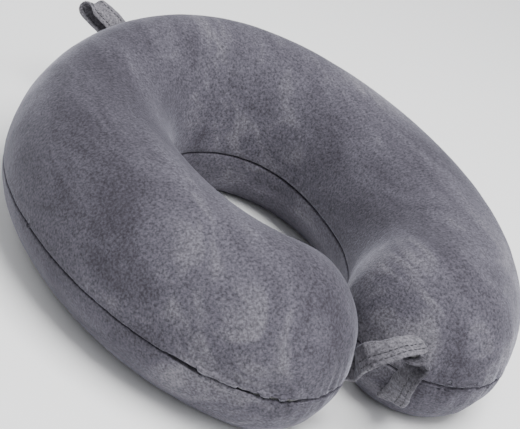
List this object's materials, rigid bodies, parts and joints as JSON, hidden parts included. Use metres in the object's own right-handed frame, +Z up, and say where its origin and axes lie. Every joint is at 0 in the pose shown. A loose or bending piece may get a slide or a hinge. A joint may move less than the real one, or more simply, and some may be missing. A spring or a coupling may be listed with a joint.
{
  "type": "u shaped neck pillow",
  "caption": "U shaped travel neck pillow: foam core in a zipped velour cover, with snap straps across the mouth and a hanging loop at the back.",
  "frame": {"origin": "middle of the whole length and width, on the plane that the flat base rests on", "axes": "+X to the right arm, +Y to the back of the neck and the hanging loop, +Z up; the U opens to -Y"},
  "size_m": [0.2898, 0.3659, 0.1057],
  "materials": {
    "velour": "short-pile velour, matt with a soft sheen",
    "knit": "thin jersey knit",
    "foam": "open-cell memory foam",
    "zip_tape": "woven polyester tape",
    "nylon": "nylon coil",
    "metal": "nickel plated"
  },
  "bodies": {
    "pillow": {"cover_upper_panel": "velour", "cover_lower_panel": "velour", "liner_upper_half": "knit", "liner_lower_half": "knit", "foam_core": "foam", "zip_tape_upper": "zip_tape", "zip_tape_lower": "zip_tape", "zip_coil_upper": "nylon", "zip_coil_lower": "nylon", "zip_stop_front": "metal", "zip_stop_back": "metal"},
    "zip_slider": {"zip_slider": "metal"},
    "zip_puller": {"zip_puller": "metal"},
    "strap_left": {"strap_left": "velour", "snap_socket": "metal"},
    "strap_right": {"strap_right": "velour", "snap_stud": "metal"},
    "hanging_loop": {"hanging_loop": "velour"}
  },
  "joints": [
    {"name": "zip_travel", "type": "hinge", "parent": "pillow", "child": "zip_slider", "pos_m": [0.05137, -0.02887, 0.035], "axis": [0, 0, 1], "range_deg": [-33.1, 0]},
    {"name": "puller_swing", "type": "hinge", "parent": "zip_slider", "child": "zip_puller", "pos_m": [-0.09896, -0.14558, 0.035], "axis": [0, 0, 1], "range_deg": [0, 5]},
    {"name": "strap_left_lift", "type": "hinge", "parent": "pillow", "child": "strap_left", "pos_m": [-0.0078, -0.1567, 0.035], "axis": [-0.2202, -0.2001, 0.9547], "range_deg": [0, 12], "stiffness_Nm_per_rad": 0.02},
    {"name": "strap_right_drop", "type": "hinge", "parent": "pillow", "child": "strap_right", "pos_m": [0.019, -0.1624, 0.016], "axis": [0.7507, -0.6607, 0], "range_deg": [0, 40], "stiffness_Nm_per_rad": 0.02},
    {"name": "loop_swing", "type": "hinge", "parent": "pillow", "child": "hanging_loop", "pos_m": [0, 0.137, 0.035], "axis": [1, 0, 0], "range_deg": [-40, 40], "stiffness_Nm_per_rad": 0.02}
  ]
}
